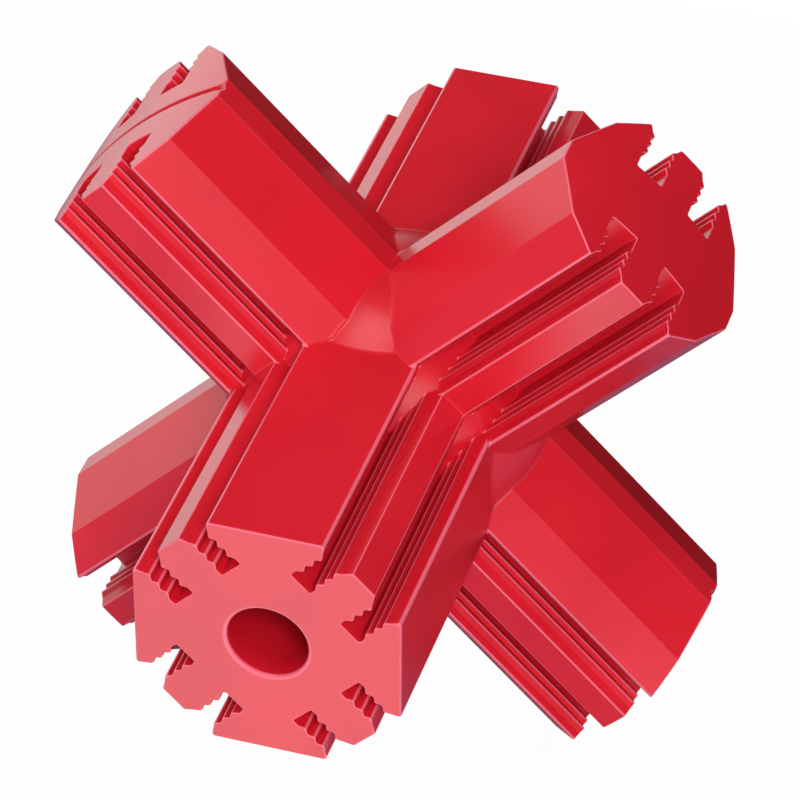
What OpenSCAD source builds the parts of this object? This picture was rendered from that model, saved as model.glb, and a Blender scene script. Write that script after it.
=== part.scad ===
// Rubber jack for chewing: a ball hub with six grooved arms on three square axes.
// It stands on three arms: the front one, and the lower left and lower right ones.

/* [Overall] */
// Reach of the four side arms, from the hub centre to the crown of the end
side_reach = 57; // [50:0.5:66]
// Reach of the front and back arms, from the hub centre to the flat end
long_reach = 59; // [52:0.5:68]
// Diameter of the ball hub
hub_d = 50; // [46:0.5:54]

/* [Front and back arms] */
// Distance from the arm's axis to its four wide faces
wide_face = 19.8; // [19:0.1:21]
// Distance from the arm's axis to its four narrow faces
narrow_face = 20.3; // [19:0.1:21]
// Half the thickness of the rib between two grooves
long_rib = 3.1; // [2.5:0.1:3.6]
// Width of a groove
long_groove_w = 3.9; // [3.2:0.1:4.4]
// Distance from the arm's axis to the floor of a groove
long_floor = 12.2; // [10:0.1:14]
// Widening at each side of a groove's mouth
long_flare = 0.85; // [0.2:0.05:1]
// Height of the teeth on the groove's walls
long_tooth = 0.6; // [0.2:0.05:0.9]

/* [Side arms] */
// Distance from the arm's axis to the narrow facet at its widest
side_half_w = 17.6; // [16:0.1:18.4]
// Half the width of that narrow facet
facet_half = 2.2; // [1:0.1:4]
// Knee between the two slanted facets, across the arm
knee_x = 13.1; // [12:0.1:14]
// Knee between the two slanted facets, along the front to back line
knee_y = 11.6; // [10:0.1:13]
// Distance from the arm's axis to the outer face of its ribs
side_half_d = 16.8; // [15:0.1:18]
// Half the thickness of the rib between two grooves
side_rib = 2.9; // [2.2:0.1:3.4]
// Width of a groove
side_groove_w = 4.7; // [4:0.1:5]
// Distance from the arm's axis to the floor of a groove
side_floor = 6.6; // [5:0.1:9]
// Widening at each side of a groove's mouth
side_flare = 0.6; // [0.2:0.05:0.9]
// Height of the teeth on the groove's walls
side_tooth = 0.6; // [0.2:0.05:0.9]

/* [Teeth] */
// Number of teeth on each wall of a groove
teeth = 3; // [1:1:3]
// Distance from one tooth to the next
tooth_pitch = 1.85; // [1.2:0.05:2]

/* [Bore] */
// Diameter of the hole in the end of the front arm
bore_d = 12; // [8:0.5:16]
// Depth of that hole
bore_depth = 30; // [10:1:33]
// Radius that rounds the hole's mouth
bore_round = 0.7; // [0.2:0.1:1.5]

/* [Mould line] */
// Width of the mould line across the upper left and lower right ends
seam_w = 0.9; // [0.3:0.1:1.5]
// Depth of the mould line
seam_depth = 0.4; // [0.1:0.05:0.8]

/* [Hidden] */
$fn = 96;

rubber_red = [0.83, 0.10, 0.14];
spare = 5;                     // length by which a cutter passes the face it cuts
hub_r = hub_d / 2;
bore_r = bore_d / 2;
// Depth of a mouth's flare, which ends where the outermost tooth starts
flare_depth = 1.4;
// The corner where a wide face meets a narrow one, measured along the narrow one
wide_corner = wide_face * sqrt(2) - narrow_face;
// The corner beside a groove's mouth on a side arm
mouth_x = side_rib + side_groove_w + side_flare;
// Heights above the hub's centre at which the arms start. The side arms stay just clear of each
// other, so that the ball's surface runs on between them.
side_seat = side_half_w + 0.4;
long_seat = side_half_d;

// Resting lean. The front arm stands on the lower edge of its end, and each lower side
// arm on the front corner beside a groove's mouth, so these are at one height.
side_foot = (sqrt(side_reach * side_reach - mouth_x * mouth_x) + mouth_x) / sqrt(2);
lean = atan2(side_foot - wide_face, long_reach - side_half_d);
hub_height = long_reach * sin(lean) + wide_face * cos(lean);

// A wall's teeth, from the inside of the groove outwards: way is 1 where they point to +x
function wall_teeth(x, top, height, way) = [
    for (i = [teeth - 1:-1:0])
        each [[x, top - (i + 1) * tooth_pitch], [x + way * height, top - (i + 0.5) * tooth_pitch],
              [x, top - i * tooth_pitch]]
];
function reversed(list) = [for (i = [len(list) - 1:-1:0]) list[i]];

// One groove beside the rib on +y, open towards +y
module groove(rib, width, floor_y, mouth_y, flare, tooth) {
    near = rib;
    far = rib + width;
    top = mouth_y - flare_depth;
    polygon(concat(
        [[far, floor_y], [near, floor_y]],
        wall_teeth(near, top, tooth, 1),
        [[near - flare, mouth_y], [near - flare, mouth_y + spare],
         [far + flare + spare, mouth_y + spare], [far + flare, mouth_y]],
        reversed(wall_teeth(far, top, tooth, -1))));
}

// The pair of grooves beside one rib
module groove_pair(rib, width, floor_y, mouth_y, flare, tooth)
    for (side = [0, 1]) mirror([side, 0])
        groove(rib, width, floor_y, mouth_y, flare, tooth);

// Section of the front and back arms: an octagon with a rib between two grooves
// in the middle of each narrow face
module long_section() difference() {
    polygon([for (turn = [0:3], end = [1, -1])
        let (a = 90 * turn, x = narrow_face, y = -end * wide_corner)
            [x * cos(a) - y * sin(a), x * sin(a) + y * cos(a)]]);
    for (turn = [0:3]) rotate(90 * turn)
        groove_pair(long_rib, long_groove_w, long_floor, narrow_face, long_flare, long_tooth);
}

// Section of the side arms: ten facets, with the ribs and grooves at front and back
module side_section() difference() {
    polygon([for (q = [[1, 1], [-1, 1], [-1, -1], [1, -1]])
        let (points = [[side_half_w, facet_half], [knee_x, knee_y], [mouth_x, side_half_d]],
             run = q.x * q.y > 0 ? points : reversed(points))
            each [for (p = run) [q.x * p.x, q.y * p.y]]]);
    for (turn = [0, 1]) rotate(180 * turn)
        groove_pair(side_rib, side_groove_w, side_floor, side_half_d, side_flare, side_tooth);
}

module bore_cut() rotate_extrude() {
    translate([0, long_reach - bore_depth]) square([bore_r, bore_depth + spare]);
    difference() {
        translate([0, long_reach - bore_round]) square([bore_r + bore_round, bore_round + spare]);
        translate([bore_r + bore_round, long_reach - bore_round]) circle(bore_round);
    }
}

// A front or back arm along +z, from its flat seat, with its ribs towards the side arms
module long_arm(bored) difference() {
    translate([0, 0, long_seat]) linear_extrude(long_reach - long_seat) rotate(45) long_section();
    if (bored) bore_cut();
}

// A side arm along +z, from its flat seat, with its grooves facing -y and +y. Its end is
// part of a cylinder round the front to back axis.
module side_arm(seam) difference() {
    intersection() {
        translate([0, 0, side_seat]) linear_extrude(side_reach) side_section();
        rotate([90, 0, 0]) cylinder(r = side_reach, h = 2 * side_reach, center = true);
    }
    if (seam) rotate([90, 0, 0]) difference() {
        cylinder(r = side_reach + spare, h = seam_w, center = true);
        cylinder(r = side_reach - seam_depth, h = seam_w + 1, center = true);
    }
}

// The four shoulders that carry the long arms' wide faces down to the ball, along +z
module shoulders() for (turn = [0:3]) rotate(90 * turn + 45)
    linear_extrude(2 * long_seat, center = true) intersection() {
        translate([0, -side_reach]) square([wide_face, 2 * side_reach]);
        rotate(-45) translate([mouth_x, mouth_x]) square(side_reach);
    }

// The ball, let in for the six arms, so that it shows between them and in their grooves
module ball() difference() {
    union() {
        sphere(hub_r);
        rotate([90, 0, 0]) rotate(45) shoulders();
    }
    for (turn = [90, -90]) rotate([turn, 0, 0]) long_arm(false);
    for (turn = [45:90:315]) rotate([0, turn, 0]) side_arm(false);
}

// Stands the toy on its three lower arms, with the hub's centre above the origin
module stand() translate([0, 0, hub_height]) rotate([lean, 0, 0]) children();

module hub() color(rubber_red) stand() ball();
module front_arm() color(rubber_red) stand() rotate([90, 0, 0]) long_arm(true);
module back_arm() color(rubber_red) stand() rotate([-90, 0, 0]) long_arm(false);
module upper_left_arm() color(rubber_red) stand() rotate([0, -45, 0]) side_arm(true);
module upper_right_arm() color(rubber_red) stand() rotate([0, 45, 0]) side_arm(false);
module lower_left_arm() color(rubber_red) stand() rotate([0, -135, 0]) side_arm(false);
module lower_right_arm() color(rubber_red) stand() rotate([0, 135, 0]) side_arm(true);

hub();
front_arm();
back_arm();
upper_left_arm();
upper_right_arm();
lower_left_arm();
lower_right_arm();
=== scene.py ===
"""Looks of the rubber jack: a ball hub and six grooved arms, with every edge rounded as moulded rubber is.

Each arm is a section outline, with rounded corners and teeth, carried along the arm's axis from its seat
on the hub to its end. Lengths are in millimetres up to the last step, which writes metres.
"""

import logging
import math
from dataclasses import dataclass, field
from enum import Enum
from typing import Iterator

import bpy
import numpy as np
from mathutils import Matrix, Vector, geometry


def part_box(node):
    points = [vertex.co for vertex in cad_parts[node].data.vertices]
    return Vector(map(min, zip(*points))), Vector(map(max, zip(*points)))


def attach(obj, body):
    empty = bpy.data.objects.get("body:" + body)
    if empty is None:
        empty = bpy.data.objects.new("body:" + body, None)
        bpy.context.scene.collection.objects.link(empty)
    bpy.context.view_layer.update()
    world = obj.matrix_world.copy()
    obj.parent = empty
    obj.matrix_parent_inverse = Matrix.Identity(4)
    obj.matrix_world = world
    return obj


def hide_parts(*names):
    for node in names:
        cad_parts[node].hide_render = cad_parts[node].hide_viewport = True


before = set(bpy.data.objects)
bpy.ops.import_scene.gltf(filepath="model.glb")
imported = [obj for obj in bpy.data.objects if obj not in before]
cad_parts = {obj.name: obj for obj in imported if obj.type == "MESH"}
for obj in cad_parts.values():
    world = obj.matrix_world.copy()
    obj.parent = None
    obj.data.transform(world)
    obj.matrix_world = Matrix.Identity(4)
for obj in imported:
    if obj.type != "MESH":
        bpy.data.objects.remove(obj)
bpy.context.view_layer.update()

MM = 0.001
BODY = "root"
# name of the vertex bend that sets where the rubber gets painted highlight and painted shade
PAINTED_LIGHT_BEND = "bend"
WHITE = (1.0, 1.0, 1.0, 1.0)
LOG = logging.getLogger("rubber_jack")

Array = np.ndarray


class End(Enum):
    """How an arm ends."""

    PLAIN = "plain"
    BORED = "with a blind hole"
    PARTED = "with the mould line"


def unit(vectors: Array) -> Array:
    """Scales each vector along the last axis to length one."""
    return vectors / np.linalg.norm(vectors, axis=-1, keepdims=True)


def turned(vectors: Array, angle: Array) -> Array:
    """Turns plane vectors counterclockwise by an angle.

    Args:
        vectors: plane vectors, two numbers along the last axis.
        angle: the angle in radians, one per vector.

    Returns:
        The turned vectors.
    """
    cos, sin = np.cos(angle), np.sin(angle)
    x, y = vectors[..., 0], vectors[..., 1]
    return np.stack([x * cos - y * sin, x * sin + y * cos], axis=-1)


@dataclass(frozen=True)
class Corner:
    """One corner of a section, with the rounds that start there.

    Attributes:
        x: place across the section.
        y: place along the section's second axis.
        radius: radius that rounds the corner in the section.
        edge: radius of the edge between the wall here and the arm's end face.
        root: radius of the fillet between the wall here and what the arm stands on.
    """

    x: float
    y: float
    radius: float
    edge: float
    root: float


@dataclass(frozen=True)
class Outline:
    """A closed counterclockwise section outline.

    Attributes:
        points: places on the outline, n by 2.
        normals: outward unit normals, n by 2.
        edge: end edge radius at each point.
        root: root fillet radius at each point.
        bend: 1 in the middle of a sharp convex corner's arc, less in a blunt one's, the same below 0 in
        a concave one's, and 0 on the straights. It sets where highlight and shade are painted.
    """

    points: Array
    normals: Array
    edge: Array
    root: Array
    bend: Array

    @staticmethod
    def rounded(corners: list[Corner], arc_steps: int = 4, longest: float = 1.1) -> "Outline":
        """Rounds the corners of a polygon and divides its straight stretches.

        A corner's arc is tangent to both of its sides. Its centre lies on the corner's bisector, at the
        radius over the cosine of half the turn, inside at a convex corner and outside at a concave one.
        The outward normal turns evenly from one side's to the next side's along the arc.

        Args:
            corners: the polygon, counterclockwise.
            arc_steps: number of chords in each corner's arc.
            longest: longest chord on a straight stretch.

        Returns:
            The rounded outline.
        """
        place = np.array([(c.x, c.y) for c in corners])
        values = np.array([(c.edge, c.root) for c in corners])
        ahead = np.roll(place, -1, axis=0) - place
        length = np.linalg.norm(ahead, axis=1)
        leaving = unit(ahead)
        arriving = np.roll(leaving, 1, axis=0)
        turn = np.arctan2(arriving[:, 0] * leaving[:, 1] - arriving[:, 1] * leaving[:, 0],
                          np.sum(arriving * leaving, axis=1))
        room = 0.49 * np.minimum(length, np.roll(length, 1))
        radius = np.minimum([c.radius for c in corners], room / np.tan(np.abs(turn) / 2))
        side = np.sign(turn)
        first_normal = np.stack([arriving[:, 1], -arriving[:, 0]], axis=1)
        bisector = turned(first_normal, turn / 2)
        centre = place - (side * radius / np.cos(turn / 2))[:, None] * bisector
        share = np.linspace(0, 1, arc_steps + 1)
        arc_normals = turned(np.repeat(first_normal[:, None], arc_steps + 1, axis=1), turn[:, None] * share)
        arcs = centre[:, None] + (side * radius)[:, None, None] * arc_normals
        swell = np.minimum(1, 1.5 * np.sin(np.pi * share))
        sharp = side * np.minimum(1, np.abs(turn) / 1.2) ** 2
        points, normals, rounds, bends = [], [], [], []
        for i, after in enumerate(np.roll(np.arange(len(corners)), -1)):
            points.append(arcs[i])
            normals.append(arc_normals[i])
            rounds.append(np.repeat(values[i][None], arc_steps + 1, axis=0))
            bends.append(sharp[i] * swell)
            gap = float(np.linalg.norm(arcs[after, 0] - arcs[i, -1]))
            inner = np.linspace(0, 1, max(1, math.ceil(gap / longest)) + 1)[1:-1, None]
            points.append(arcs[i, -1] + inner * (arcs[after, 0] - arcs[i, -1]))
            normals.append(np.repeat(arc_normals[i, -1][None], len(inner), axis=0))
            rounds.append(values[i] + inner * (values[after] - values[i]))
            bends.append(np.zeros(len(inner)))
        edge, root = np.concatenate(rounds).T
        return Outline(np.concatenate(points), np.concatenate(normals), edge, root, np.concatenate(bends))


@dataclass(frozen=True)
class Groove:
    """A toothed groove beside a rib, as seen in a section, open towards +y.

    Attributes:
        near: distance from the section's middle line to the wall beside the rib.
        width: width between the two walls.
        floor: distance from the arm's axis to the groove's floor.
        mouth: distance from the arm's axis to the face that the groove opens in.
        flare: widening at each side of the mouth.
        tooth: height of the teeth.
        tip: radius at the tips and the valleys of the teeth.
        teeth: number of teeth on each wall.
        pitch: distance from one tooth to the next.
        flare_depth: depth of the mouth's flare.
        lip: radius of the corner at the mouth.
        heel: radius of the corner at the floor.
        inner_edge: end edge radius inside the groove.
        inner_root: root fillet radius inside the groove.
    """

    near: float
    width: float
    floor: float
    mouth: float
    flare: float
    tooth: float
    tip: float
    teeth: int = 3
    pitch: float = 1.85
    flare_depth: float = 1.4
    lip: float = 0.34
    heel: float = 0.35
    inner_edge: float = 0.16
    inner_root: float = 0.14

    def far_wall(self, outer_edge: float, outer_root: float) -> list[Corner]:
        """The wall away from the rib, from the mouth down to the floor's corner.

        Args:
            outer_edge: end edge radius at the mouth.
            outer_root: root fillet radius at the mouth.

        Returns:
            The wall's corners.
        """
        far, top = self.near + self.width, self.mouth - self.flare_depth
        return [Corner(far + self.flare, self.mouth, self.lip, outer_edge, outer_root),
                *self._toothed(far, top, -1),
                Corner(far, self.floor, self.heel, self.inner_edge, self.inner_root)]

    def near_wall(self, outer_edge: float, outer_root: float) -> list[Corner]:
        """The wall beside the rib, from the floor's corner up to the mouth.

        Args:
            outer_edge: end edge radius at the mouth.
            outer_root: root fillet radius at the mouth.

        Returns:
            The wall's corners.
        """
        top = self.mouth - self.flare_depth
        return [Corner(self.near, self.floor, self.heel, self.inner_edge, self.inner_root),
                *reversed(self._toothed(self.near, top, 1)),
                Corner(self.near - self.flare, self.mouth, self.lip, outer_edge, outer_root)]

    def _toothed(self, x: float, top: float, way: int) -> list[Corner]:
        """Valleys and tips of one wall's teeth, from the mouth inwards."""
        steps = range(2 * self.teeth + 1)
        return [Corner(x + way * self.tooth * (i % 2), top - i * self.pitch / 2, self.tip,
                       self.inner_edge, self.inner_root) for i in steps]


def mirrored(corners: list[Corner]) -> list[Corner]:
    """The same corners on the other side of the section's middle line, still counterclockwise."""
    return [Corner(-c.x, c.y, c.radius, c.edge, c.root) for c in reversed(corners)]


def rotated(corners: list[Corner], quarter_turns: int) -> list[Corner]:
    """The same corners given some quarter turns about the arm's axis."""
    cos, sin = [(1, 0), (0, 1), (-1, 0), (0, -1)][quarter_turns % 4]
    return [Corner(c.x * cos - c.y * sin, c.x * sin + c.y * cos, c.radius, c.edge, c.root)
            for c in corners]


@dataclass(frozen=True)
class LongSection:
    """Section of the front and back arms: an octagon with a rib between two grooves in each narrow face.

    Attributes:
        wide_face: distance from the arm's axis to the four wide faces.
        corner: radius of the octagon's corners.
        edge: end edge radius outside the grooves.
        root: root fillet radius outside the grooves.
        groove: the groove beside each rib.
    """

    wide_face: float = 19.8
    corner: float = 0.5
    edge: float = 0.3
    root: float = 0.35
    groove: Groove = Groove(near=3.1, width=3.9, floor=12.2, mouth=20.3, flare=0.85, tooth=0.75, tip=0.45)

    def half_face(self) -> list[Corner]:
        """Right half of the narrow face on +y, from the wide face to the rib.

        The groove's flare runs out into the wide face, on which x plus y is the face's distance times
        the root of two.

        Returns:
            The corners of that half.
        """
        groove = self.groove
        far, top = groove.near + groove.width, groove.mouth - groove.flare_depth
        share = (self.wide_face * math.sqrt(2) - far - top) / (groove.flare + groove.flare_depth)
        corner = Corner(far + share * groove.flare, top + share * groove.flare_depth,
                        self.corner, self.edge, self.root)
        return [corner, *groove.far_wall(self.edge, self.root)[1:], *groove.near_wall(self.edge, self.root)]

    def corners(self) -> list[Corner]:
        """The whole section, counterclockwise."""
        half = self.half_face()
        face = half + mirrored(half)
        return [c for turn in range(4) for c in rotated(face, turn)]


@dataclass(frozen=True)
class SideSection:
    """Section of the side arms: ten facets, with a rib between two grooves at front and back.

    Attributes:
        half_width: distance from the arm's axis to the narrow facet at its widest.
        facet_half: half the width of that facet.
        knee_x: place across the arm of the knee between the two slanted facets.
        knee_y: place of that knee along the front to back line.
        half_depth: distance from the arm's axis to the outer face of its ribs.
        corner: radius of the facets' corners.
        edge: end edge radius outside the grooves.
        root: root fillet radius outside the grooves.
        groove: the groove beside each rib.
    """

    half_width: float = 17.6
    facet_half: float = 2.2
    knee_x: float = 13.1
    knee_y: float = 11.6
    half_depth: float = 16.8
    corner: float = 0.5
    edge: float = 0.24
    root: float = 0.35
    groove: Groove = Groove(near=2.9, width=4.7, floor=6.6, mouth=16.8, flare=0.6, tooth=0.75, tip=0.45)

    def corners(self) -> list[Corner]:
        """The whole section, counterclockwise."""
        flank = [Corner(self.half_width, self.facet_half, self.corner, self.edge, self.root),
                 Corner(self.knee_x, self.knee_y, self.corner, self.edge, self.root)]
        far_wall = self.groove.far_wall(self.edge, self.root)
        near_wall = self.groove.near_wall(self.edge, self.root)
        half = flank + far_wall + near_wall
        upper = half + mirrored(half)
        return upper + rotated(upper, 2)


def polygon_distance(points: Array, polygon: Array) -> Array:
    """Signed distance in the plane from a closed polygon, negative inside.

    Its size is the least distance to any side, and a point lies inside when a ray from it crosses an
    odd number of sides.

    Args:
        points: m by 2.
        polygon: k by 2.

    Returns:
        The m distances.
    """
    start, stop = polygon, np.roll(polygon, -1, axis=0)
    side = stop - start
    offset = points[:, None] - start
    share = np.clip(np.sum(offset * side, axis=2) / np.sum(side * side, axis=1), 0, 1)
    size = np.linalg.norm(offset - share[..., None] * side, axis=2).min(axis=1)
    x, y = points[:, :1], points[:, 1:]
    spans = (start[:, 1] > y) != (stop[:, 1] > y)
    rise = np.where(side[:, 1] == 0, 1.0, side[:, 1])
    crossing = spans & (x < start[:, 0] + (y - start[:, 1]) * side[:, 0] / rise)
    return np.where(crossing.sum(axis=1) % 2 == 1, -size, size)


@dataclass(frozen=True)
class Core:
    """What the arms stand on: the ball hub and, for a side arm, the bar of the long arms across it.

    Attributes:
        radius: radius of the ball.
        bar: section of the bar in the plane of the arm's x and z axes, or None.
    """

    radius: float
    bar: Array | None = None

    def distance(self, points: Array) -> Array:
        """Signed distance from the nearer of the ball and the bar.

        Args:
            points: m by 3.

        Returns:
            The m distances.
        """
        ball = np.linalg.norm(points, axis=1) - self.radius
        if self.bar is None:
            return ball
        return np.minimum(ball, polygon_distance(points[:, [0, 2]], self.bar))

    def slope(self, points: Array) -> Array:
        """Unit gradient of the distance, by central differences.

        Args:
            points: m by 3.

        Returns:
            The m gradients.
        """
        step = 0.01
        rises = [self.distance(points + s) - self.distance(points - s) for s in np.eye(3) * step]
        return unit(np.stack(rises, axis=1))

    def land(self, across: Array, clearance: Array, start: float = 45.0, rounds: int = 90) -> Array:
        """Height at which points that come down along the arm reach a clearance from the core.

        Each step goes down by the distance that is still free, so no step can pass the surface.

        Args:
            across: places in the section, m by 2.
            clearance: the distance to stop at, one per place.
            start: height to start from.
            rounds: number of steps.

        Returns:
            The m heights.
        """
        height = np.full(len(across), start)
        for _ in range(rounds):
            height -= self.distance(np.column_stack([across, height])) - clearance
        return height


@dataclass
class MeshParts:
    """Vertices, normals and faces that grow as a piece is put together."""

    vertices: list[Array] = field(default_factory=list)
    normals: list[Array] = field(default_factory=list)
    bends: list[Array] = field(default_factory=list)
    quads: list[Array] = field(default_factory=list)
    triangles: list[Array] = field(default_factory=list)
    count: int = 0

    def add(self, vertices: Array, normals: Array, bend: Array | None = None) -> int:
        """Adds vertices.

        Args:
            vertices: their places.
            normals: their normals.
            bend: the bend at each, or None where the surface is even.

        Returns:
            The index of the first.
        """
        first = self.count
        self.vertices.append(vertices.reshape(-1, 3))
        self.normals.append(normals.reshape(-1, 3))
        self.bends.append(np.zeros(len(self.vertices[-1])) if bend is None else bend.ravel())
        self.count += len(self.vertices[-1])
        return first

    def skin(self, rings: Array) -> None:
        """Joins rings of vertex indices, one row per ring, with quads that close round each ring."""
        right = np.roll(rings, -1, axis=1)
        self.quads.append(np.stack([rings[:-1], right[:-1], right[1:], rings[1:]], axis=-1).reshape(-1, 4))

    def fan(self, ring: Array, centre: int) -> None:
        """Closes a ring with triangles to one centre vertex."""
        self.triangles.append(np.stack([ring, np.roll(ring, -1), np.full_like(ring, centre)], axis=-1))

    def build(self, name: str, axes: Array, origin: Array) -> bpy.types.Object:
        """Writes the piece as a Blender object whose place is in its mesh.

        Args:
            name: the object's name.
            axes: rows are the world directions of the piece's own x, y and z.
            origin: the world place of the piece's own origin, in millimetres.

        Returns:
            The new object.
        """
        places = (np.concatenate(self.vertices) @ axes + origin) * MM
        normals = unit(np.concatenate(self.normals)) @ axes
        loops = np.concatenate([f.ravel() for f in self.quads + self.triangles]).astype(np.int32)
        sizes = np.concatenate([np.full(len(f), f.shape[1]) for f in self.quads + self.triangles])
        starts = np.concatenate([[0], np.cumsum(sizes)[:-1]]).astype(np.int32)
        mesh = bpy.data.meshes.new(name)
        mesh.vertices.add(len(places))
        mesh.vertices.foreach_set("co", places.astype(np.float32).ravel())
        mesh.loops.add(len(loops))
        mesh.loops.foreach_set("vertex_index", loops)
        mesh.polygons.add(len(starts))
        mesh.polygons.foreach_set("loop_start", starts)
        mesh.polygons.foreach_set("use_smooth", np.ones(len(starts), bool))
        mesh.update(calc_edges=True)
        mesh.validate()
        mesh.normals_split_custom_set_from_vertices(normals.tolist())
        bend = mesh.attributes.new(PAINTED_LIGHT_BEND, "FLOAT", "POINT")
        bend.data.foreach_set("value", np.concatenate(self.bends).astype(np.float32))
        piece = bpy.data.objects.new(name, mesh)
        bpy.context.scene.collection.objects.link(piece)
        return piece


def fill(loops: list[Array], inner: Array) -> Array:
    """Fills closed plane loops with triangles, using some points inside.

    All the points are joined by a Delaunay triangulation that keeps the loops' sides, and the triangles
    whose middle lies outside the outer loop or in a hole are dropped.

    Args:
        loops: the outer loop and any holes, each n by 2.
        inner: points inside, m by 2.

    Returns:
        Triangles as indices into the loops' points followed by the inner points, counterclockwise.
    """
    points = np.concatenate([*loops, inner])
    sides, first = [], 0
    for loop in loops:
        ring = np.arange(first, first + len(loop))
        sides.append(np.stack([ring, np.roll(ring, -1)], axis=1))
        first += len(loop)
    whole_hull = 0
    same_point = 1e-7
    _, _, faces, origins, _, _ = geometry.delaunay_2d_cdt(
        points.tolist(), np.concatenate(sides).tolist(), [], whole_hull, same_point)
    triangles = np.array([o[0] for o in origins])[np.array(faces)]
    middle = points[triangles].mean(axis=1)
    keep = polygon_distance(middle, loops[0]) < 0
    for hole in loops[1:]:
        keep &= polygon_distance(middle, hole) > 0
    return triangles[keep]


def inside_points(outline: Array, rows_x: Array, rows_y: Array, margin: float) -> Array:
    """Grid points that lie inside an outline by at least a margin."""
    grid = np.stack(np.meshgrid(rows_x, rows_y), axis=-1).reshape(-1, 2)
    return grid[polygon_distance(grid, outline) < -margin]


@dataclass(frozen=True)
class MouldLine:
    """The line that the mould's halves leave across an arm's end.

    Attributes:
        depth: depth of the line.
        half_width: half the line's width.
    """

    depth: float = 0.5
    half_width: float = 0.75

    def drop(self, y: Array) -> Array:
        """Depth of the line at a distance from its middle: a raised cosine that ends at its edges."""
        cosine = np.cos(np.pi * y / self.half_width)
        return np.where(np.abs(y) < self.half_width, self.depth * (0.5 + 0.5 * cosine), 0.0)

    def fall(self, y: Array) -> Array:
        """Slope of the drop."""
        steepest = 0.5 * np.pi * self.depth / self.half_width
        sine = np.sin(np.pi * y / self.half_width)
        return np.where(np.abs(y) < self.half_width, -steepest * sine, 0.0)


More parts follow.
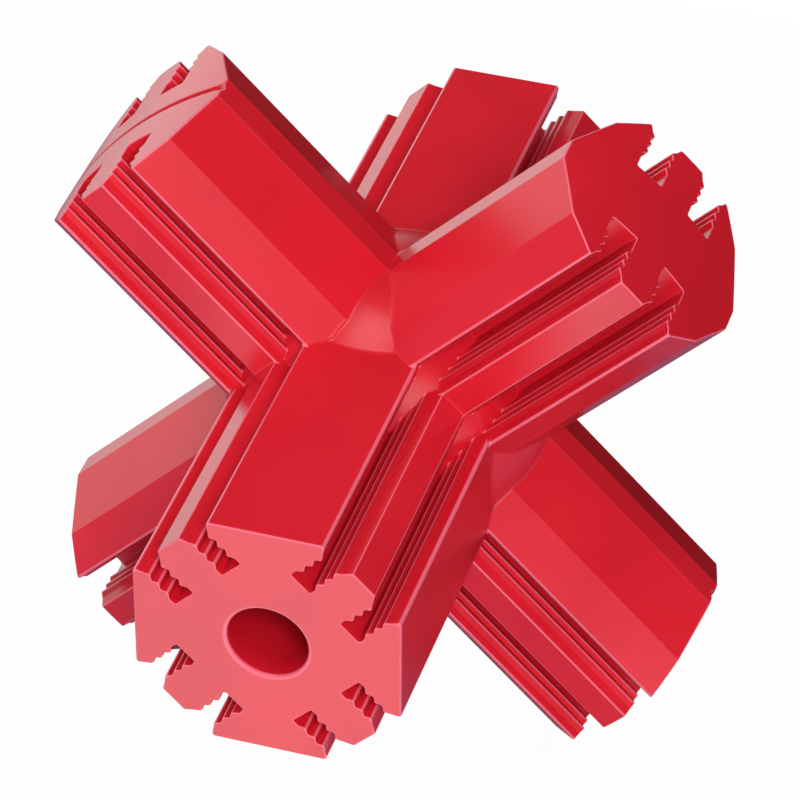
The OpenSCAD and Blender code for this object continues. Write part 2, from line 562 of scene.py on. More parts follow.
@dataclass
class Arm:
    """One arm, built in its own axes: x and y across its section, z from the hub's centre to its end.

    Attributes:
        name: the CAD node that the arm stands for.
        along: world direction of the arm's axis.
        second: world direction of its section's y axis.
        end: how the arm ends.
        ball: radius of the hub.
        arc: angles in degrees at which the rows of a quarter round lie.
        middle_rows: number of rows between the root fillet and the end edge.
        sunk: depth by which the arm's foot lies inside what it stands on.
    """

    name: str
    along: Array
    second: Array
    end: End
    ball: float
    arc: tuple[float, ...] = (0.0, 18.0, 36.0, 54.0, 72.0, 90.0)
    middle_rows: int = 14
    sunk: float = 0.12

    def outline(self) -> Outline:
        """The rounded section."""
        raise NotImplementedError

    def core(self) -> Core:
        """What the arm stands on."""
        raise NotImplementedError

    def end_height(self, across: Array) -> Array:
        """Height of the end face above places in the section."""
        raise NotImplementedError

    def end_normal(self, across: Array) -> Array:
        """Outward normal of the end face at places in the section."""
        raise NotImplementedError

    def end_bend(self, across: Array) -> Array:
        """Bend of the end face at places in the section, 0 where it is even."""
        return np.zeros(len(across))

    def end_rows(self) -> tuple[Array, Array]:
        """Grid lines, across and along y, of the points that divide the end face."""
        raise NotImplementedError

    def finish_end(self, parts: MeshParts, ring: Array, boundary: Array) -> None:
        """Closes the arm's end inside its last ring.

        Args:
            parts: the piece so far.
            ring: indices of the last ring.
            boundary: the last ring's places in the section.
        """
        inner = inside_points(boundary, *self.end_rows(), margin=0.12)
        faces = fill([boundary], inner)
        first = parts.add(np.column_stack([inner, self.end_height(inner)]), self.end_normal(inner),
                          self.end_bend(inner))
        lookup = np.concatenate([ring, np.arange(first, first + len(inner))])
        parts.triangles.append(lookup[faces])

    def wall(self, outline: Outline, core: Core) -> tuple[Array, Array, Array]:
        """Rows of the arm's wall, from its seat up to the edge of its end face.

        The root fillet is a quarter circle between the wall and the core: at an angle from the wall it
        stands off the wall by radius times one less the cosine, and off the core by radius times one
        less the sine. The end edge is the same quarter circle between the wall and the end face, inside
        the rubber. Normals turn with the angle from the wall's to the core's or the end face's.

        Args:
            outline: the section.
            core: what the arm stands on.

        Returns:
            Vertices and normals, rows by n by 3, and the bend at each vertex.
        """
        flat = np.column_stack([outline.normals, np.zeros(len(outline.points))])
        rows, normals, bends = [], [], []

        def add(across: Array, height: Array, normal: Array, edge_bend: float = -1.0) -> None:
            """Adds a row, bent at least as much as its edge is."""
            rows.append(np.column_stack([across, height]))
            normals.append(normal)
            bends.append(np.maximum(outline.bend, edge_bend))

        for degrees in reversed(self.arc):
            cos, sin = math.cos(math.radians(degrees)), math.sin(math.radians(degrees))
            across = outline.points + (outline.root * (1 - cos))[:, None] * outline.normals
            height = core.land(across, outline.root * (1 - sin))
            slope = core.slope(np.column_stack([across, height]))
            if not rows:
                add(across, core.land(across, np.full(len(across), -self.sunk)), slope)
            add(across, height, unit(cos * flat + sin * slope))
        foot = rows[-1][:, 2]
        head = self.end_height(outline.points) - outline.edge
        for share in np.linspace(0, 1, self.middle_rows + 2)[1:-1]:
            add(outline.points, foot + share * (head - foot), flat)
        for degrees in self.arc:
            cos, sin = math.cos(math.radians(degrees)), math.sin(math.radians(degrees))
            across = outline.points - (outline.edge * (1 - cos))[:, None] * outline.normals
            height = self.end_height(across) - outline.edge * (1 - sin)
            # the end edge's rows get a bend that paints a highlight along the edge
            add(across, height, unit(cos * flat + sin * self.end_normal(across)), 2 * sin * cos)
        return np.stack(rows), np.stack(normals), np.stack(bends)

    def seat(self, parts: MeshParts, ring: Array, boundary: Array, core: Core) -> None:
        """Closes the arm's foot, just inside the core.

        Args:
            parts: the piece so far.
            ring: indices of the first ring.
            boundary: the first ring's places in the section.
            core: what the arm stands on.
        """
        half_span, pitch = 24.0, 2.0
        spacing = np.arange(-half_span, half_span + pitch, pitch)
        inner = inside_points(boundary, spacing, spacing, margin=0.3)
        height = core.land(inner, np.full(len(inner), -self.sunk))
        faces = fill([boundary], inner)[:, ::-1]
        places = np.column_stack([inner, height])
        first = parts.add(places, -core.slope(places))
        lookup = np.concatenate([ring, np.arange(first, first + len(inner))])
        parts.triangles.append(lookup[faces])

    def build(self, origin: Array) -> bpy.types.Object:
        """Builds the arm.

        Args:
            origin: the world place of the hub's centre, in millimetres.

        Returns:
            The arm's object.
        """
        outline, core = self.outline(), self.core()
        rows, normals, bends = self.wall(outline, core)
        parts = MeshParts()
        parts.add(rows, normals, bends)
        rings = np.arange(rows.shape[0] * rows.shape[1]).reshape(rows.shape[:2])
        parts.skin(rings)
        self.seat(parts, rings[0], rows[0][:, :2], core)
        self.finish_end(parts, rings[-1], rows[-1][:, :2])
        axes = np.stack([np.cross(self.second, self.along), self.second, self.along])
        return parts.build(self.name + "_rubber", axes, origin)


@dataclass
class LongArm(Arm):
    """The front or the back arm, with a flat end and, at the front, a blind hole in it.

    Attributes:
        reach: height of the flat end above the hub's centre.
        bore: radius of the hole.
        bore_depth: depth of the hole.
        bore_round: radius that rounds the hole's mouth.
        bore_heel: radius between the hole's wall and its floor.
        bore_sides: number of chords round the hole.
        bore_rows: number of rows on its straight wall.
        section: the arm's section.
    """

    reach: float = 59.0
    bore: float = 6.0
    bore_depth: float = 30.0
    bore_round: float = 0.7
    bore_heel: float = 1.2
    bore_sides: int = 128
    bore_rows: int = 6
    section: LongSection = LongSection()

    def outline(self) -> Outline:
        """The rounded octagon with its grooves."""
        return Outline.rounded(self.section.corners())

    def core(self) -> Core:
        """The ball alone."""
        return Core(self.ball)

    def end_height(self, across: Array) -> Array:
        """The end is flat."""
        return np.full(len(across), self.reach)

    def end_normal(self, across: Array) -> Array:
        """The end faces along the arm."""
        return np.tile([0.0, 0.0, 1.0], (len(across), 1))

    def end_rows(self) -> tuple[Array, Array]:
        """A coarse grid, since the end is flat."""
        spacing = np.arange(-18.0, 18.1, 3.0)
        return spacing, spacing

    def finish_end(self, parts: MeshParts, ring: Array, boundary: Array) -> None:
        """Closes the end, round the hole if there is one.

        Args:
            parts: the piece so far.
            ring: indices of the last ring.
            boundary: the last ring's places in the section.
        """
        if self.end is not End.BORED:
            super().finish_end(parts, ring, boundary)
            return
        rim, mouth = self._hole(parts)
        clear = 0.5
        inner = inside_points(boundary, *self.end_rows(), margin=0.3)
        inner = inner[np.linalg.norm(inner, axis=1) > self.bore + self.bore_round + clear]
        faces = fill([boundary, mouth], inner)
        first = parts.add(np.column_stack([inner, self.end_height(inner)]), self.end_normal(inner))
        lookup = np.concatenate([ring, rim, np.arange(first, first + len(inner))])
        parts.triangles.append(lookup[faces])

    def _hole(self, parts: MeshParts) -> tuple[Array, Array]:
        """Adds the hole.

        Its mouth is a quarter circle from the end face to the wall, and a second one joins the wall to
        the flat floor. The bend paints a highlight round the mouth, as on other edges, and from there it
        falls to -1, which paints shade down the hole and on its floor.

        Args:
            parts: the piece so far.

        Returns:
            Indices of the ring in the end face, and that ring's places in the section.
        """
        around = np.linspace(0, 2 * math.pi, self.bore_sides, endpoint=False)
        circle = np.stack([np.cos(around), np.sin(around)], axis=1)
        turn = np.radians(self.arc)
        sine, cosine = np.sin(turn), np.cos(turn)
        wall = np.linspace(0, 1, self.bore_rows + 2)[1:-1]
        straight = np.ones(self.bore_rows)
        top, low = self.reach - self.bore_round, self.reach - self.bore_depth + self.bore_heel

        def rings_of(outward: Array, along: Array) -> Array:
            """Circles of some sizes, each at a place along the arm."""
            level = np.broadcast_to(along[:, None, None], (len(along), len(circle), 1))
            return np.concatenate([outward[:, None, None] * circle, level], axis=2)

        radius = np.concatenate([self.bore + self.bore_round * (1 - sine), self.bore * straight,
                                 self.bore - self.bore_heel * (1 - cosine)])
        height = np.concatenate([top + self.bore_round * cosine, top + wall * (low - top),
                                 low - self.bore_heel * sine])
        inward = np.concatenate([sine, straight, cosine])
        upward = np.concatenate([cosine, 0 * straight, sine])
        # painted highlight round the mouth, then painted shade down the wall and on the floor
        bend = np.concatenate([np.sin(2 * turn), np.linspace(-0.5, -1, self.bore_rows), -np.ones(len(turn))])
        rows = rings_of(radius, height)
        first = parts.add(rows, rings_of(-inward, upward), np.repeat(bend, len(circle)))
        rings = first + np.arange(rows.shape[0] * rows.shape[1]).reshape(rows.shape[:2])
        parts.skin(rings)
        middle = np.array([[0.0, 0.0, self.reach - self.bore_depth]])
        parts.fan(rings[-1], parts.add(middle, np.array([[0.0, 0.0, 1.0]]), np.array([-1.0])))
        return rings[0], rows[0][:, :2]


@dataclass
class SideArm(Arm):
    """A side arm, whose end is part of a cylinder round the front to back axis.

    Attributes:
        reach: radius of that cylinder.
        line: the mould line across a parted end.
        section: the arm's section.
        bar: section of the long arms, across which the arm stands.
    """

    reach: float = 57.0
    line: MouldLine = MouldLine()
    section: SideSection = SideSection()
    bar: LongSection = LongSection()

    def outline(self) -> Outline:
        """The rounded ten-facet section with its grooves."""
        return Outline.rounded(self.section.corners())

    def core(self) -> Core:
        """The ball and the bar of the long arms."""
        return Core(self.ball, np.array([(c.x, c.y) for c in self.bar.corners()]))

    def end_height(self, across: Array) -> Array:
        """The cylinder's height, less the mould line's depth."""
        drop = self.line.drop(across[:, 1]) if self.end is End.PARTED else 0.0
        return np.sqrt((self.reach - drop) ** 2 - across[:, 0] ** 2)

    def end_normal(self, across: Array) -> Array:
        """The cylinder's normal, tilted on the mould line's slopes.

        Args:
            across: places in the section, m by 2.

        Returns:
            The m normals.
        """
        up = np.sqrt(self.reach ** 2 - across[:, 0] ** 2) / self.reach
        fall = self.line.fall(across[:, 1]) if self.end is End.PARTED else np.zeros(len(across))
        return unit(np.column_stack([across[:, 0] / self.reach, fall, up]))

    def end_bend(self, across: Array) -> Array:
        """-1 along the middle of the mould line, where it paints shade, and 0 beside it.

        Args:
            across: places in the section, m by 2.

        Returns:
            The m bends.
        """
        if self.end is not End.PARTED:
            return super().end_bend(across)
        # painted shade, deepest along the middle of the mould line
        return -self.line.drop(across[:, 1]) / self.line.depth

    def end_rows(self) -> tuple[Array, Array]:
        """An even grid, with close rows along the mould line.

        Returns:
            The grid lines across and along y.
        """
        even = np.arange(-18.0, 18.1, 1.2)
        if self.end is not End.PARTED:
            return even, even
        clear = self.line.half_width + 0.25
        close = np.linspace(-self.line.half_width, self.line.half_width, 9)
        return even, np.concatenate([even[even < -clear], close, even[even > clear]])


@dataclass
class Hub:
    """The ball in the middle.

    Attributes:
        radius: the ball's radius.
        axis: world direction of its poles, which lie under the long arms.
        second: a world direction square to the axis.
        name: the CAD node that it stands for.
        rings: number of rings between the poles.
        sides: number of chords round each ring.
    """

    radius: float
    axis: Array
    second: Array
    name: str = "hub"
    rings: int = 97
    sides: int = 192

    def build(self, origin: Array) -> bpy.types.Object:
        """Builds the ball: each ring's radius is the sine of its polar angle, and its height the cosine.

        Args:
            origin: the world place of the ball's centre, in millimetres.

        Returns:
            The ball's object.
        """
        polar = np.linspace(math.pi, 0, self.rings + 2)[1:-1, None]
        around = np.linspace(0, 2 * math.pi, self.sides, endpoint=False)[None]
        outward = np.stack([np.sin(polar) * np.cos(around), np.sin(polar) * np.sin(around),
                            np.cos(polar) * np.ones_like(around)], axis=-1)
        parts = MeshParts()
        parts.add(self.radius * outward, outward)
        rings = np.arange(self.rings * self.sides).reshape(self.rings, self.sides)
        parts.skin(rings)
        for ring, pole in ((rings[0][::-1], -1.0), (rings[-1], 1.0)):
            tip = np.array([[0.0, 0.0, pole]])
            parts.fan(ring, parts.add(self.radius * tip, tip))
        axes = np.stack([np.cross(self.second, self.axis), self.second, self.axis])
        return parts.build(self.name + "_rubber", axes, origin)


@dataclass(frozen=True)
class Rubber:
    """Satin moulded rubber in one colour, with a painted highlight on its rounded edges and crests and
    painted shade in its hollows.

    Attributes:
        name: the material's name.
        colour: base colour, linear.
        deep: the same colour where the pigment lies thicker.
        spread: cloudiness at which the deep colour ends and the base colour is whole.
        cloud_scale: scale of the soft cloudiness.
        roughness: the lowest and highest roughness over the surface.
        ior: index of refraction.
        specular: specular level.
        grain: height of the fine moulded grain, in metres.
        grain_scale: scale of that grain.
        relief: how strongly it shows.
        painted_highlight: colour of the painted highlight on the rounded edges and the tooth crests.
        shaded: colour of the painted shade in the valleys between the teeth, in the mould line and in the
            hole.
        painted_light_share: how much of the painted highlight and of the painted shade shows.
    """

    name: str = "red rubber"
    colour: tuple[float, float, float] = (0.69, 0.011, 0.025)
    deep: tuple[float, float, float] = (0.62, 0.009, 0.021)
    spread: tuple[float, float] = (0.35, 0.6)
    cloud_scale: float = 38.0
    roughness: tuple[float, float] = (0.22, 0.30)
    ior: float = 1.6
    specular: float = 1.0
    grain: float = 0.00002
    grain_scale: float = 2600.0
    relief: float = 0.15
    # pale pink painted highlight for the rounded edges and the tooth crests
    painted_highlight: tuple[float, float, float] = (0.92, 0.20, 0.29)
    # dark red painted shade for the valleys between the teeth, the mould line and the hole
    shaded: tuple[float, float, float] = (0.28, 0.004, 0.010)
    painted_light_share: tuple[float, float] = (0.7, 0.6)

    def make(self) -> bpy.types.Material:
        """Makes the material: soft cloudiness in the colour and the gloss, a painted highlight and painted
        shade set by the bend, and a fine grain in the bump.

        Returns:
            The material, which reads Object coordinates.
        """
        material = bpy.data.materials.new(self.name)
        material.use_nodes = True
        tree = material.node_tree
        tree.nodes.clear()
        output = tree.nodes.new("ShaderNodeOutputMaterial")
        shader = tree.nodes.new("ShaderNodeBsdfPrincipled")
        place = tree.nodes.new("ShaderNodeTexCoord")
        cloud = self._noise(tree, place, self.cloud_scale, detail=2.0)
        grain = self._noise(tree, place, self.grain_scale, detail=1.0)
        ramp = tree.nodes.new("ShaderNodeValToRGB")
        for stop, position, colour in zip(ramp.color_ramp.elements, self.spread, (self.deep, self.colour)):
            stop.position = position
            stop.color = (*colour, 1.0)
        gloss = tree.nodes.new("ShaderNodeMapRange")
        gloss.inputs["To Min"].default_value = self.roughness[0]
        gloss.inputs["To Max"].default_value = self.roughness[1]
        bump = tree.nodes.new("ShaderNodeBump")
        bump.inputs["Strength"].default_value = self.relief
        bump.inputs["Distance"].default_value = self.grain
        shader.inputs["IOR"].default_value = self.ior
        shader.inputs["Specular IOR Level"].default_value = self.specular
        link = tree.links.new
        link(cloud.outputs["Fac"], ramp.inputs["Fac"])
        link(self._with_painted_light(tree, ramp.outputs["Color"]), shader.inputs["Base Color"])
        link(cloud.outputs["Fac"], gloss.inputs["Value"])
        link(gloss.outputs["Result"], shader.inputs["Roughness"])
        link(grain.outputs["Fac"], bump.inputs["Height"])
        link(bump.outputs["Normal"], shader.inputs["Normal"])
        link(shader.outputs["BSDF"], output.inputs["Surface"])
        return material

    def _with_painted_light(self, tree: bpy.types.NodeTree, colour: bpy.types.NodeSocket) -> bpy.types.NodeSocket:
        """Paints a highlight on convex bends by turning the colour towards the pale pink one, and paints
        shade on concave bends by turning it towards the dark one.

        Args:
            tree: the material's node tree.
            colour: the socket with the plain colour.

        Returns:
            The socket with the turned colour.
        """
        bend = tree.nodes.new("ShaderNodeAttribute")
        bend.attribute_name = PAINTED_LIGHT_BEND
        # the first pass paints the highlight on convex bends, the second paints shade on concave ones
        for full, share, other in zip((1.0, -1.0), self.painted_light_share, (self.painted_highlight, self.shaded)):
            amount = tree.nodes.new("ShaderNodeMapRange")
            amount.inputs["From Max"].default_value = full
            amount.inputs["To Max"].default_value = share
            turn = tree.nodes.new("ShaderNodeMixRGB")
            turn.inputs["Color2"].default_value = (*other, 1.0)
            tree.links.new(bend.outputs["Fac"], amount.inputs["Value"])
            tree.links.new(amount.outputs["Result"], turn.inputs["Fac"])
            tree.links.new(colour, turn.inputs["Color1"])
            colour = turn.outputs["Color"]
        return colour

    @staticmethod
    def _noise(tree: bpy.types.NodeTree, place: bpy.types.Node, scale: float,
               detail: float) -> bpy.types.Node:
        """A noise texture on Object coordinates.

        Args:
            tree: the material's node tree.
            place: the node with the coordinates.
            scale: the texture's scale, per metre.
            detail: its number of finer layers.

        Returns:
            The texture's node.
        """
        noise = tree.nodes.new("ShaderNodeTexNoise")
        noise.inputs["Scale"].default_value = scale
        noise.inputs["Detail"].default_value = detail
        tree.links.new(place.outputs["Object"], noise.inputs["Vector"])
        return noise


@dataclass
class Jack:
    """The whole toy, stood on its front arm and its two lower side arms.

    Attributes:
        side_reach: reach of the side arms from the hub's centre.
        long_reach: reach of the front and back arms.
        ball: radius of the hub.
        long: section of the front and back arms.
        side: section of the side arms.
    """

    side_reach: float = 57.0
    long_reach: float = 59.0
    ball: float = 25.0
    long: LongSection = LongSection()
    side: SideSection = SideSection()

    @property
    def lean(self) -> float:
        """Angle in radians by which the front arm points down, so that three arms touch the floor.

        The front arm touches it with the lower edge of its end, and each lower side arm with the corner
        beside a groove's mouth.
        """
        mouth = self.side.groove.near + self.side.groove.width + self.side.groove.flare
        foot = (math.sqrt(self.side_reach ** 2 - mouth ** 2) + mouth) / math.sqrt(2)
        return math.atan2(foot - self.long.wide_face, self.long_reach - self.side.half_depth)

    @property
    def centre(self) -> Array:
        """The hub's centre, above the frame's origin."""
        return np.array([0.0, 0.0, self.long_reach * math.sin(self.lean)
                         + self.long.wide_face * math.cos(self.lean)])

    def pieces(self) -> Iterator[Arm | Hub]:
        """The hub and the arms, each set out along its own direction.

        Yields:
            The makers of the pieces.
        """
        cos, sin, half = math.cos(self.lean), math.sin(self.lean), math.sqrt(0.5)
        front = np.array([0.0, -cos, -sin])
        upper_right = np.array([half, -half * sin, half * cos])
        upper_left = np.array([-half, -half * sin, half * cos])
        yield Hub(self.ball, front, upper_left)
        for name, along, end in (("front_arm", front, End.BORED), ("back_arm", -front, End.PLAIN)):
            yield LongArm(name, along, upper_left, end, self.ball, reach=self.long_reach, section=self.long)
        for name, along, end in (("upper_left_arm", upper_left, End.PARTED),
                                 ("upper_right_arm", upper_right, End.PLAIN),
                                 ("lower_left_arm", -upper_right, End.PLAIN),
                                 ("lower_right_arm", -upper_left, End.PARTED)):
            yield SideArm(name, along, front, end, self.ball, reach=self.side_reach, section=self.side,
                          bar=self.long)

    def build(self, rubber: bpy.types.Material) -> None:
        """Builds each piece, gives it the rubber and sets it in the frame.

        Args:
            rubber: the material of every piece.
        """
        for maker in self.pieces():
            piece = maker.build(self.centre)
            piece.data.materials.append(rubber)
            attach(piece, BODY)
            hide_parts(maker.name)
            low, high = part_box(maker.name)
            corners = np.array([v[:] for v in piece.bound_box])
            gaps = np.abs([corners.min(axis=0) - low, corners.max(axis=0) - high])
            LOG.info("%s: %d faces, within %.2f mm of its CAD box", piece.name, len(piece.data.polygons),
                     gaps.max() / MM)


@dataclass(frozen=True)
class Softbox:
    """A square soft lamp that looks at the toy.

    Attributes:
        name: the lamp's name.
        azimuth: direction of the lamp in degrees, from the front (-y) towards +x.
        elevation: its angle above the floor in degrees.
        size: its side in metres.
        watts: its power.
        mirrored: whether it shows in reflections.
        distance: its distance in metres.
    """

    name: str
    azimuth: float
    elevation: float
    size: float
    watts: float
    mirrored: bool = True
    distance: float = 1.6

    def place(self, target: Vector) -> None:
        """Hangs the lamp so that it faces the target.

        Args:
            target: the point that it faces, in metres.
        """
        lamp = bpy.data.lights.new(self.name, "AREA")
        lamp.shape = "SQUARE"
        lamp.size = self.size
        lamp.energy = self.watts
        holder = bpy.data.objects.new(self.name, lamp)
        way = direction(self.azimuth, self.elevation)
        holder.location = target + self.distance * way
        holder.rotation_euler = way.to_track_quat("Z", "Y").to_euler()
        holder.visible_glossy = self.mirrored
        bpy.context.scene.collection.objects.link(holder)


def direction(azimuth: float, elevation: float) -> Vector:
    """Unit vector at an azimuth from -y towards +x and an elevation above the floor, in degrees."""
    a, e = math.radians(azimuth), math.radians(elevation)
    return Vector((math.sin(a) * math.cos(e), -math.cos(a) * math.cos(e), math.sin(e)))


def faded(tree: bpy.types.NodeTree, value: bpy.types.NodeSocket, gone: float, full: float,
          strength: float) -> bpy.types.NodeSocket:
    """A strength that rises over a value as a smooth step.

    Args:
        tree: the node tree that gets the node.
        value: the socket with the value.
        gone: the value at which the strength is 0.
        full: the value at which it is whole.
        strength: the whole strength.

    Returns:
        The socket with the strength.
    """
    fade = tree.nodes.new("ShaderNodeMapRange")
    fade.interpolation_type = "SMOOTHSTEP"
    fade.inputs["From Min"].default_value = gone
    fade.inputs["From Max"].default_value = full
    fade.inputs["To Max"].default_value = strength
    tree.links.new(value, fade.inputs["Value"])
    return fade.outputs["Result"]


def summed(tree: bpy.types.NodeTree, start: float, parts: list[bpy.types.NodeSocket]) -> bpy.types.NodeSocket:
    """The sum of a value and some sockets.

    Args:
        tree: the node tree that gets the nodes.
        start: the value.
        parts: the sockets.

    Returns:
        The socket with the sum.
    """
    total = tree.nodes.new("ShaderNodeValue").outputs[0]
    total.default_value = start
    for part in parts:
        plus = tree.nodes.new("ShaderNodeMath")
        plus.operation = "ADD"
        tree.links.new(total, plus.inputs[0])
        tree.links.new(part, plus.inputs[1])
        total = plus.outputs[0]
    return total


@dataclass(frozen=True)
class Pool:
    """A soft bright pool on the floor, as reflections show it.

    Attributes:
        centre: its middle on the floor, in metres.
        full: radius at which it starts to fade.
        gone: radius at which it ends.
        strength: its strength in the middle.
    """

    centre: tuple[float, float]
    full: float
    gone: float
    strength: float

    def socket(self, tree: bpy.types.NodeTree, place: bpy.types.NodeSocket) -> bpy.types.NodeSocket:
        """Its strength at a place on the floor: a smooth step over the distance from the middle.

        Args:
            tree: the floor's node tree.
            place: the socket with the place on the floor.

        Returns:
            The socket with the strength.
        """
        away = tree.nodes.new("ShaderNodeVectorMath")
        away.operation = "DISTANCE"
        away.inputs[1].default_value = (*self.centre, 0.0)
        tree.links.new(place, away.inputs[0])
        return faded(tree, away.outputs["Value"], self.gone, self.full, self.strength)


@dataclass(frozen=True)
class Glow:
    """A soft bright part of the room, as reflections show it.

    Attributes:
        way: direction from the toy to its middle.
        full: cosine of the angle from its middle at which it starts to fade.
        gone: cosine of the angle at which it ends.
        strength: its strength in the middle.
    """

    way: tuple[float, float, float]
    full: float
    gone: float
    strength: float

    def socket(self, tree: bpy.types.NodeTree, place: bpy.types.NodeSocket) -> bpy.types.NodeSocket:
        """Its strength in the direction looked in.

        Args:
            tree: the world's node tree.
            place: the socket with the direction looked in.

        Returns:
            The socket with the strength: a smooth step over the cosine of the angle from the middle.
        """
        toward = tree.nodes.new("ShaderNodeVectorMath")
        toward.operation = "DOT_PRODUCT"
        toward.inputs[1].default_value = Vector(self.way).normalized()
        tree.links.new(place, toward.inputs[0])
        return faded(tree, toward.outputs["Value"], self.gone, self.full, self.strength)


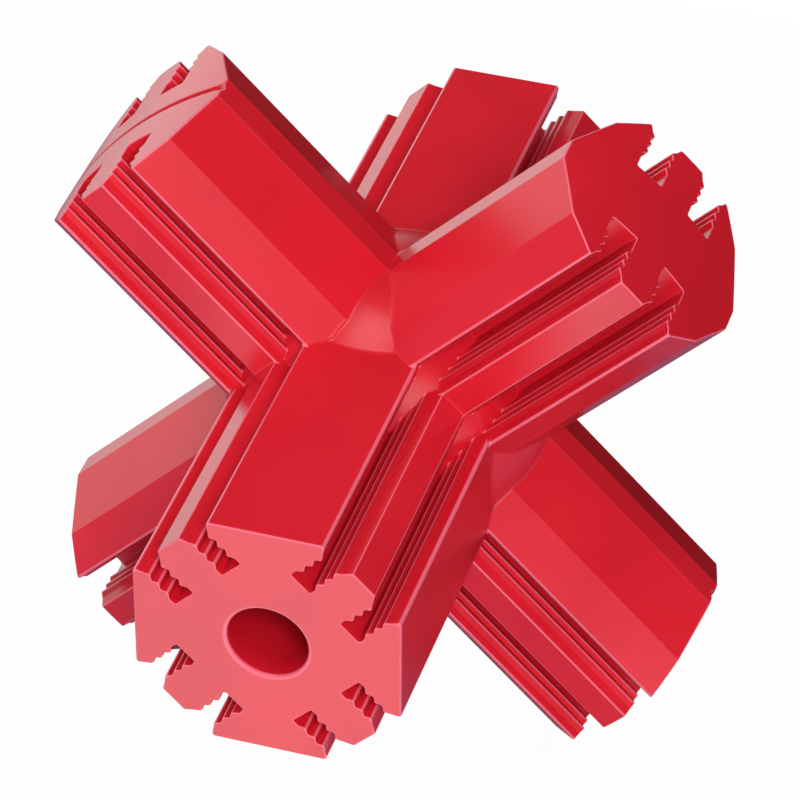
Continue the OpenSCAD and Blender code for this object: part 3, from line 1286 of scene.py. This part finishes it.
@dataclass
class Studio:
    """Pale floor, soft light and the camera at the photograph's angle.

    Attributes:
        target: the point that the camera and the lamps look at, in metres.
        azimuth: direction of the camera in degrees, from the front (-y) towards +x.
        elevation: its angle above the floor in degrees.
        roll: its turn about its own axis in degrees.
        distance: its distance in metres.
        lens: its focal length in millimetres.
        sensor: its sensor's width in millimetres.
        shift: shift of its picture.
        lamps: the soft lamps.
        ambient: strength of the even light from all sides.
        dim: strength of the room in reflections, outside its glows.
        glows: the bright parts of the room in reflections.
        floor_half: half the floor's side in metres.
        floor_white: how much of the floor is plain white, with the rest shaded as paint is.
        floor_paint: grey of that paint.
        floor_shade_in_reflections: painted shade, tinted violet, that the floor shows in reflections outside
            its pools.
        pools: the bright pools on the floor in reflections.
    """

    target: Vector
    azimuth: float = 13.77
    elevation: float = 7.65
    roll: float = 9.18
    distance: float = 0.6873
    lens: float = 206.3
    sensor: float = 36.0
    shift: tuple[float, float] = (0.0086, -0.0046)
    lamps: tuple[Softbox, ...] = (
        Softbox("key", azimuth=19.0, elevation=9.0, size=0.5, watts=21.5, mirrored=False),
        Softbox("fill", azimuth=-60.0, elevation=42.0, size=0.9, watts=7.5, mirrored=False),
        Softbox("panel", azimuth=-14.0, elevation=46.0, size=0.8, watts=2.0),
        Softbox("back", azimuth=196.0, elevation=14.0, size=1.7, watts=165.0, mirrored=False, distance=5.5),
    )
    ambient: float = 0.27
    dim: float = 0.01
    glows: tuple[Glow, ...] = (
        Glow(way=(-0.80, 0.55, 0.20), full=0.93, gone=0.60, strength=0.95),
        Glow(way=(-0.66, 0.64, 0.42), full=1.0, gone=0.93, strength=0.7),
        Glow(way=(0.53, -0.83, 0.16), full=0.995, gone=0.955, strength=1.2),
    )
    floor_half: float = 6.0
    floor_white: float = 0.97
    floor_paint: float = 0.85
    floor_shade_in_reflections: tuple[float, float, float] = (0.22, 0.12, 0.22)
    pools: tuple[Pool, ...] = (
        Pool(centre=(-0.005, -0.062), full=0.022, gone=0.045, strength=1.1),
        Pool(centre=(0.125, -0.075), full=0.03, gone=0.075, strength=1.2),
    )

    def camera(self) -> None:
        """Sets the camera: its axes are the view direction, and the level axes turned by the roll."""
        toward = direction(self.azimuth, self.elevation)
        level = Vector((0, 0, 1)).cross(toward).normalized()
        steep = toward.cross(level)
        roll = math.radians(self.roll)
        right = math.cos(roll) * level + math.sin(roll) * steep
        up = toward.cross(right)
        data = bpy.data.cameras.new("camera")
        data.lens = self.lens
        data.sensor_width = self.sensor
        data.shift_x, data.shift_y = self.shift
        data.clip_start = 0.05
        data.clip_end = 50.0
        camera = bpy.data.objects.new("camera", data)
        camera.matrix_world = Matrix.Translation(self.target + self.distance * toward) @ \
            Matrix((right, up, toward)).transposed().to_4x4()
        bpy.context.scene.collection.objects.link(camera)
        bpy.context.scene.camera = camera

    def floor(self) -> None:
        """Lays a wide pale floor that looks white and keeps a soft shadow."""
        half = self.floor_half
        corners = [(-half, -half, 0), (half, -half, 0), (half, half, 0), (-half, half, 0)]
        mesh = bpy.data.meshes.new("floor")
        mesh.from_pydata(corners, [], [(0, 1, 2, 3)])
        floor = bpy.data.objects.new("floor", mesh)
        floor.data.materials.append(self._floor_material())
        bpy.context.scene.collection.objects.link(floor)

    @staticmethod
    def _seen(tree: bpy.types.NodeTree) -> bpy.types.NodeSocket:
        """1 for the rays that see the room: from the camera, off gloss and through glass.

        Args:
            tree: the node tree that gets the nodes.

        Returns:
            The socket with that number.
        """
        rays = tree.nodes.new("ShaderNodeLightPath")
        seen = rays.outputs["Is Camera Ray"]
        for name in ("Is Glossy Ray", "Is Transmission Ray"):
            either = tree.nodes.new("ShaderNodeMath")
            either.operation = "MAXIMUM"
            tree.links.new(seen, either.inputs[0])
            tree.links.new(rays.outputs[name], either.inputs[1])
            seen = either.outputs[0]
        return seen

    def _floor_material(self) -> bpy.types.Material:
        """White for the camera, painted shade tinted violet with bright pools in reflections, and shaded a
        little as paint is.

        Returns:
            The material.
        """
        material = bpy.data.materials.new("floor")
        material.use_nodes = True
        tree = material.node_tree
        tree.nodes.clear()
        output = tree.nodes.new("ShaderNodeOutputMaterial")
        paint = tree.nodes.new("ShaderNodeBsdfDiffuse")
        paint.inputs["Color"].default_value = (*[self.floor_paint] * 3, 1.0)
        glow = tree.nodes.new("ShaderNodeEmission")
        place = tree.nodes.new("ShaderNodeTexCoord")
        rays = tree.nodes.new("ShaderNodeLightPath")
        mirrored_floor = tree.nodes.new("ShaderNodeMixRGB")
        mirrored_floor.blend_type = "ADD"
        mirrored_floor.inputs["Fac"].default_value = 1.0
        # painted shade, tinted violet, where reflections see the floor outside the pools
        mirrored_floor.inputs["Color1"].default_value = (*self.floor_shade_in_reflections, 1.0)
        shown = tree.nodes.new("ShaderNodeMixRGB")
        shown.inputs["Color2"].default_value = WHITE
        share = tree.nodes.new("ShaderNodeMath")
        share.operation = "MULTIPLY"
        share.inputs[1].default_value = self.floor_white
        mix = tree.nodes.new("ShaderNodeMixShader")
        link = tree.links.new
        pools = [pool.socket(tree, place.outputs["Object"]) for pool in self.pools]
        link(summed(tree, 0.0, pools), mirrored_floor.inputs["Color2"])
        link(rays.outputs["Is Camera Ray"], shown.inputs["Fac"])
        link(mirrored_floor.outputs["Color"], shown.inputs["Color1"])
        link(shown.outputs["Color"], glow.inputs["Color"])
        link(self._seen(tree), share.inputs[0])
        link(share.outputs[0], mix.inputs["Fac"])
        link(paint.outputs[0], mix.inputs[1])
        link(glow.outputs[0], mix.inputs[2])
        link(mix.outputs[0], output.inputs["Surface"])
        return material

    def world(self) -> None:
        """Lights the toy evenly, with a white background.

        Reflections show a dark room with a few soft bright parts, as the photograph's do.
        """
        world = bpy.data.worlds.new("studio")
        world.use_nodes = True
        world.cycles.sampling_method = "NONE"
        tree = world.node_tree
        tree.nodes.clear()
        output = tree.nodes.new("ShaderNodeOutputWorld")
        even = tree.nodes.new("ShaderNodeBackground")
        even.inputs["Strength"].default_value = self.ambient
        room = tree.nodes.new("ShaderNodeBackground")
        way = tree.nodes.new("ShaderNodeTexCoord")
        rays = tree.nodes.new("ShaderNodeLightPath")
        white = tree.nodes.new("ShaderNodeMath")
        white.operation = "MAXIMUM"
        mix = tree.nodes.new("ShaderNodeMixShader")
        link = tree.links.new
        glows = [glow.socket(tree, way.outputs["Generated"]) for glow in self.glows]
        link(summed(tree, self.dim, glows), white.inputs[0])
        link(rays.outputs["Is Camera Ray"], white.inputs[1])
        link(white.outputs[0], room.inputs["Strength"])
        link(self._seen(tree), mix.inputs["Fac"])
        link(even.outputs[0], mix.inputs[1])
        link(room.outputs[0], mix.inputs[2])
        link(mix.outputs[0], output.inputs["Surface"])
        bpy.context.scene.world = world

    def set_up(self) -> None:
        """Makes the camera, the floor, the lamps and the surround."""
        bpy.context.scene.view_settings.view_transform = "Standard"
        self.camera()
        self.floor()
        for lamp in self.lamps:
            lamp.place(self.target)
        self.world()


def main() -> None:
    """Builds the toy and its studio."""
    logging.basicConfig(level=logging.INFO, format="%(message)s")
    jack = Jack()
    Studio(Vector(jack.centre * MM)).set_up()
    jack.build(Rubber().make())


if __name__ == "__main__":
    main()
